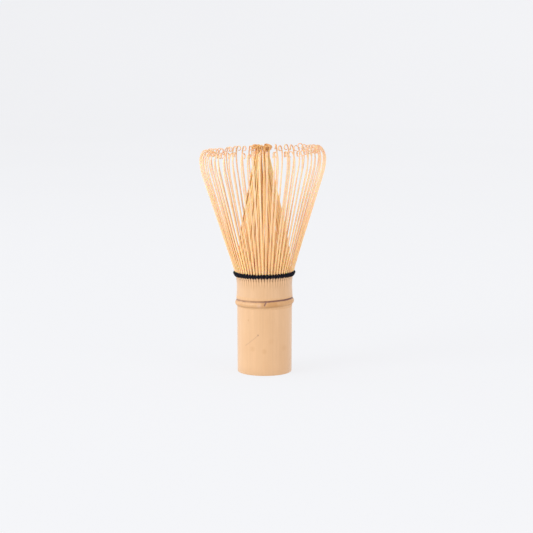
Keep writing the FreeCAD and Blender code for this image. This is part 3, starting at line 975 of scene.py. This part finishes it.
class WHISK_OT_thread(bpy.types.Operator):
    """Lay the rounds of thread, pulled in between the tines, and blacken the knot inside"""
    bl_idname = "whisk.thread"
    bl_label = "Thread"
    parts_per_tine = 6

    def lay_round(self, name, radius, level, thread, tines, dip, lift, swell):
        """One round that bulges over each tine, and dips, lifts and swells between them."""
        parts = self.parts_per_tine
        bpy.ops.object.select_all(action="DESELECT")
        bpy.ops.mesh.primitive_torus_add(
            major_segments=tines * parts, minor_segments=10,
            major_radius=radius, minor_radius=thread, location=(0, 0, level),
        )
        bpy.ops.object.transform_apply(location=True, rotation=True, scale=True)
        loop = bpy.context.active_object
        loop.name = name
        loop.data.name = name
        edit(loop)
        for part in range(parts):
            depth = (1 + math.cos(math.tau * part / parts)) / 2

            def in_phase(co, part=part):
                share = math.atan2(co.y, co.x) / math.tau * tines * parts
                return round(share) % parts == part

            select_where(loop, in_phase)
            ratio = 1 - dip * depth / radius
            taller = 1 + swell * depth
            bpy.ops.transform.resize(value=(ratio, ratio, taller), center_override=(0, 0, level))
            bpy.ops.transform.translate(value=(0, 0, lift * depth))
        leave()
        layer = loop.data.attributes.new("ply", "FLOAT", "POINT")
        values = []
        for vertex in loop.data.vertices:
            around = math.atan2(vertex.co.y, vertex.co.x) / math.tau * tines * 1.5
            out = vertex.co.xy.length - radius
            over = math.atan2(vertex.co.z - level, out) / math.tau
            values.append(0.5 + 0.5 * math.cos(math.tau * (around + over)))
        layer.data.foreach_set("value", values)
        return loop

    def finish_round(self, loop, material, node, upper_tilt):
        """Finish one round of the thread, which stays with the root."""
        tilt(loop, upper_tilt, RING_TOP)
        smooth(loop, 80)
        finish_piece(loop, material, "black_thread", node)
        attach(loop, "root")

    def execute(self, context):
        sizes, colours = context.scene.whisk_sizes, context.scene.whisk_colours
        tines = SPLITS * sizes.tines_per_split
        thread = sizes.thread_radius
        material = thread_finish("black thread", tuple(colours.thread))
        middle = (THREAD_BOTTOM + THREAD_TOP) / 2
        # the outside rounds are drawn together to this share of their spacing
        drawn = 0.45
        for name, lift, swell in (
            ("lower", -0.65 * MM, 0.0), ("middle", 0.0, 0.6), ("upper", 0.65 * MM, 0.0)
        ):
            node = "thread_{}_round".format(name)
            low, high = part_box(node)
            radius = high.x - (high.z - low.z) / 2
            level = middle + ((low.z + high.z) / 2 - middle) * drawn
            loop = self.lay_round(
                "thread_" + name, radius, level, thread, tines, 0.4 * MM, lift, swell
            )
            self.finish_round(loop, material, node, sizes.upper_tilt)
        low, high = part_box("thread_inner_round")
        thin = (high.z - low.z) / 2
        inner = self.lay_round(
            "thread_inner", high.x - thin, (low.z + high.z) / 2, thin, tines, 0.1 * MM, 0.0, 0.0
        )
        self.finish_round(inner, material, "thread_inner_round", sizes.upper_tilt)
        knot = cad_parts["thread_knot"]
        knot.data.materials.clear()
        knot.data.materials.append(material)
        return {"FINISHED"}


class WHISK_OT_stage(bpy.types.Operator):
    """Set the pale sweep, the soft lights and the camera"""
    bl_idname = "whisk.stage"
    bl_label = "Stage"
    aim_height = 50 * MM

    def add_light(self, name, place, size, power, tone):
        """A round soft light aimed at the whisk's middle."""
        bpy.ops.object.light_add(type="AREA", location=place)
        lamp = bpy.context.active_object
        lamp.name = name
        lamp.data.shape = "DISK"
        lamp.data.size = size
        lamp.data.energy = power
        lamp.data.color = tone
        aim = Vector((0, 0, self.aim_height)) - Vector(place)
        lamp.rotation_euler = aim.to_track_quat("-Z", "Y").to_euler()

    def lay_sweep(self, tone):
        """A seamless paper sweep: a floor that curves up into a wall behind the whisk."""
        bpy.ops.object.select_all(action="DESELECT")
        bpy.ops.mesh.primitive_plane_add(size=5, location=(0, 0, 0))
        sweep = bpy.context.active_object
        sweep.name = "sweep"
        edit(sweep)
        bpy.ops.mesh.select_mode(type="EDGE")
        select_where(sweep, lambda co: co.y > 2)
        steps, step, wall = 12, 0.16, 3.0
        for number in range(steps):
            heading = math.radians(90) / steps * (number + 0.5)
            ahead = Vector((0, math.cos(heading), math.sin(heading))) * step
            bpy.ops.mesh.extrude_region_move(TRANSFORM_OT_translate={"value": ahead})
        bpy.ops.mesh.extrude_region_move(TRANSFORM_OT_translate={"value": (0, 0, wall)})
        bpy.ops.mesh.select_mode(type="VERT")
        bpy.ops.mesh.select_all(action="SELECT")
        bpy.ops.mesh.normals_make_consistent(inside=False)
        leave()
        smooth(sweep, 60)
        sweep.data.materials.append(floor_finish("pale paper", tone))

    def execute(self, context):
        studio, colours = context.scene.whisk_studio, context.scene.whisk_colours
        self.lay_sweep(tuple(colours.floor))
        power = studio.key_power
        cool, white = (0.94, 1.0, 1.04), (1.0, 1.0, 1.0)
        self.add_light("key", (-1.42, -0.86, 0.8), 1.1, power, cool)
        self.add_light("fill", (1.2, -1.0, 0.6), 1.2, power / 3, white)
        self.add_light("side", (-0.9, 0.3, 0.3), 0.9, power / 9, cool)

        world = bpy.data.worlds.new("soft room")
        context.scene.world = world
        world.use_nodes = True
        background = world.node_tree.nodes["Background"]
        background.inputs["Color"].default_value = (*colours.floor, 1)
        background.inputs["Strength"].default_value = studio.room_light

        bpy.ops.object.camera_add()
        camera = bpy.context.active_object
        camera.name = "camera"
        camera.location = (studio.camera_aside, -studio.camera_distance, studio.camera_height)
        camera.rotation_euler = (math.radians(90) - studio.camera_dip, 0, 0)
        camera.data.lens = studio.focal_length
        camera.data.sensor_width = 36
        camera.data.clip_start = 0.01
        context.scene.camera = camera
        context.scene.view_settings.view_transform = "Standard"
        return {"FINISHED"}


class WHISK_PT_panel(bpy.types.Panel):
    """The whisk's sizes and colours, and a button for each operator"""
    bl_idname = "WHISK_PT_panel"
    bl_label = "Tea whisk"
    bl_space_type = "VIEW_3D"
    bl_region_type = "UI"
    bl_category = "Whisk"

    def draw(self, context):
        layout = self.layout
        for group in (context.scene.whisk_sizes, context.scene.whisk_colours,
                      context.scene.whisk_studio):
            box = layout.box()
            for name in group.__annotations__:
                box.prop(group, name)
        for operator in PIECES:
            layout.operator(operator.bl_idname)


GROUPS = (WhiskSizes, WhiskColours, StudioSettings)
PIECES = (
    WHISK_OT_handle, WHISK_OT_node, WHISK_OT_diaphragm, WHISK_OT_collar,
    WHISK_OT_outer_tines, WHISK_OT_inner_tines, WHISK_OT_thread, WHISK_OT_stage,
)
CLASSES = (*GROUPS, *PIECES, WHISK_PT_panel)


def register():
    for cls in CLASSES:
        bpy.utils.register_class(cls)
    bpy.types.Scene.whisk_sizes = bpy.props.PointerProperty(type=WhiskSizes)
    bpy.types.Scene.whisk_colours = bpy.props.PointerProperty(type=WhiskColours)
    bpy.types.Scene.whisk_studio = bpy.props.PointerProperty(type=StudioSettings)


def unregister():
    del bpy.types.Scene.whisk_studio
    del bpy.types.Scene.whisk_colours
    del bpy.types.Scene.whisk_sizes
    for cls in reversed(CLASSES):
        bpy.utils.unregister_class(cls)


def main():
    register()
    bpy.ops.whisk.handle()
    bpy.ops.whisk.node()
    bpy.ops.whisk.diaphragm()
    bpy.ops.whisk.collar()
    bpy.ops.whisk.outer_tines()
    bpy.ops.whisk.inner_tines()
    bpy.ops.whisk.thread()
    bpy.ops.whisk.stage()


if __name__ == "__main__":
    main()
